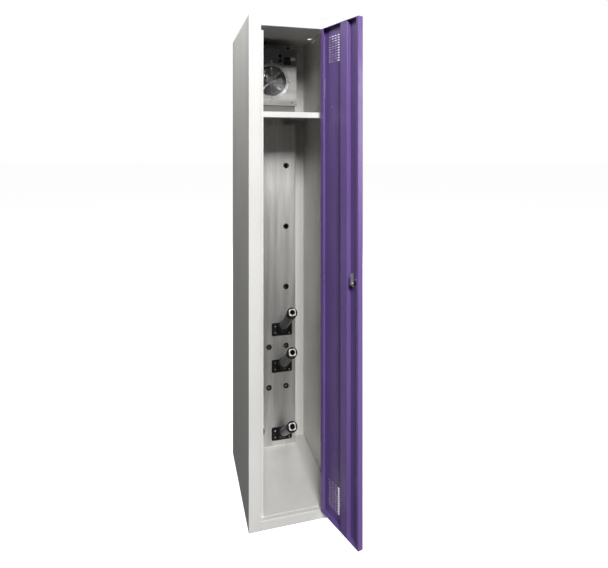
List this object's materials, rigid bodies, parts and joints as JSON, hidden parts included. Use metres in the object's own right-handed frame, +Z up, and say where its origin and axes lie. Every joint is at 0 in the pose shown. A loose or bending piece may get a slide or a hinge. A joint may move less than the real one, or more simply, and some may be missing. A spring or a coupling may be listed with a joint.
{
  "type": "drying locker",
  "caption": "Tall narrow steel locker with its door open, a blower box on the top shelf and a stainless duct with drying nozzles.",
  "frame": {"origin": "on the ground, in the middle of the sill's foot flange, 10 mm behind the front face", "axes": "+X to the right seen from the front, +Y into the locker, +Z up"},
  "size_m": [0.3382, 0.7266, 1.803],
  "materials": {
    "frame_paint": "satin powder coat",
    "door_paint": "satin powder coat",
    "stainless_sheet": "fine brushed",
    "zinc_plated_steel": "bright zinc",
    "black_plastic": "matt moulded",
    "grey_plastic": "matt moulded",
    "pale_plastic": "matt moulded",
    "control_foil": "satin",
    "label_foil": "satin",
    "chrome_wire": "bright",
    "motor_steel": "ground",
    "aluminium_fins": "extruded",
    "plate_aluminium": "satin",
    "lock_chrome": "bright",
    "lock_nickel": "satin nickel",
    "gloss_black": "gloss"
  },
  "bodies": {
    "carcass": {"left_side_panel": "frame_paint", "right_side_panel": "frame_paint", "back_panel": "frame_paint", "roof_panel": "frame_paint", "floor_panel": "frame_paint", "head_rail": "frame_paint", "sill_rail": "frame_paint", "shelf": "frame_paint", "shelf_clips": "zinc_plated_steel", "roof_vent_cap": "pale_plastic", "cable_grommet": "pale_plastic", "hinge_frame_leaves": "zinc_plated_steel", "hinge_pins": "zinc_plated_steel", "door_buffers": "pale_plastic", "plenum_cover": "stainless_sheet", "plenum_screws": "zinc_plated_steel", "outlet_bushes": "black_plastic", "nozzle_flanges": "black_plastic", "nozzle_tubes": "grey_plastic", "nozzle_collars": "black_plastic", "nozzle_mouths": "pale_plastic", "nozzle_screws": "zinc_plated_steel", "box_shell": "stainless_sheet", "box_front": "stainless_sheet", "control_panel": "control_foil", "box_screws": "zinc_plated_steel", "box_plinth": "stainless_sheet", "air_duct": "stainless_sheet", "cable_gland": "black_plastic", "fan_guard": "chrome_wire", "guard_screws": "zinc_plated_steel", "fan_housing": "black_plastic", "fan_motor": "motor_steel", "heater_block": "aluminium_fins", "heater_brackets": "zinc_plated_steel", "thermostat": "black_plastic", "terminal_block": "pale_plastic", "switch_body": "black_plastic", "button_collars": "black_plastic", "label_plate": "label_foil"},
    "door": {"door_pan": "door_paint", "door_stiffener": "door_paint", "hinge_door_leaves": "zinc_plated_steel", "number_plate": "plate_aluminium", "plate_rivets": "plate_aluminium", "lock_housing": "lock_chrome", "lock_nut": "zinc_plated_steel"},
    "lock": {"lock_plug": "lock_nickel", "lock_cam": "zinc_plated_steel", "cam_screw": "zinc_plated_steel"},
    "fan": {"fan_shaft": "motor_steel", "fan_rotor": "black_plastic"},
    "rocker_left": {"rocker_left": "gloss_black"},
    "rocker_right": {"rocker_right": "gloss_black"},
    "upper_button": {"upper_button": "gloss_black"},
    "lower_button": {"lower_button": "gloss_black"}
  },
  "joints": [
    {"name": "door_hinge", "type": "hinge", "parent": "carcass", "child": "door", "pos_m": [0.11525, -0.011, 0.9], "axis": [0, 0, 1], "range_deg": [-106.3, 13.7]},
    {"name": "lock_turn", "type": "hinge", "parent": "door", "child": "lock", "pos_m": [0.17134, -0.20636, 0.895], "axis": [0.9598, 0.2807, 0], "range_deg": [0, 90]},
    {"name": "fan_spin", "type": "hinge", "parent": "carcass", "child": "fan", "pos_m": [-0.017, 0.36, 1.619], "axis": [0, 1, 0], "continuous": true},
    {"name": "left_rocker_tilt", "type": "hinge", "parent": "carcass", "child": "rocker_left", "pos_m": [0.0451, 0.338, 1.705], "axis": [1, 0, 0], "range_deg": [-20, 0]},
    {"name": "right_rocker_tilt", "type": "hinge", "parent": "carcass", "child": "rocker_right", "pos_m": [0.0573, 0.338, 1.705], "axis": [1, 0, 0], "range_deg": [-20, 0]},
    {"name": "lower_button_press", "type": "slide", "parent": "carcass", "child": "lower_button", "axis": [0, 1, 0], "range_m": [0, 0.002], "stiffness_N_per_m": 150},
    {"name": "upper_button_press", "type": "slide", "parent": "carcass", "child": "upper_button", "axis": [0, 1, 0], "range_m": [0, 0.002], "stiffness_N_per_m": 150}
  ]
}
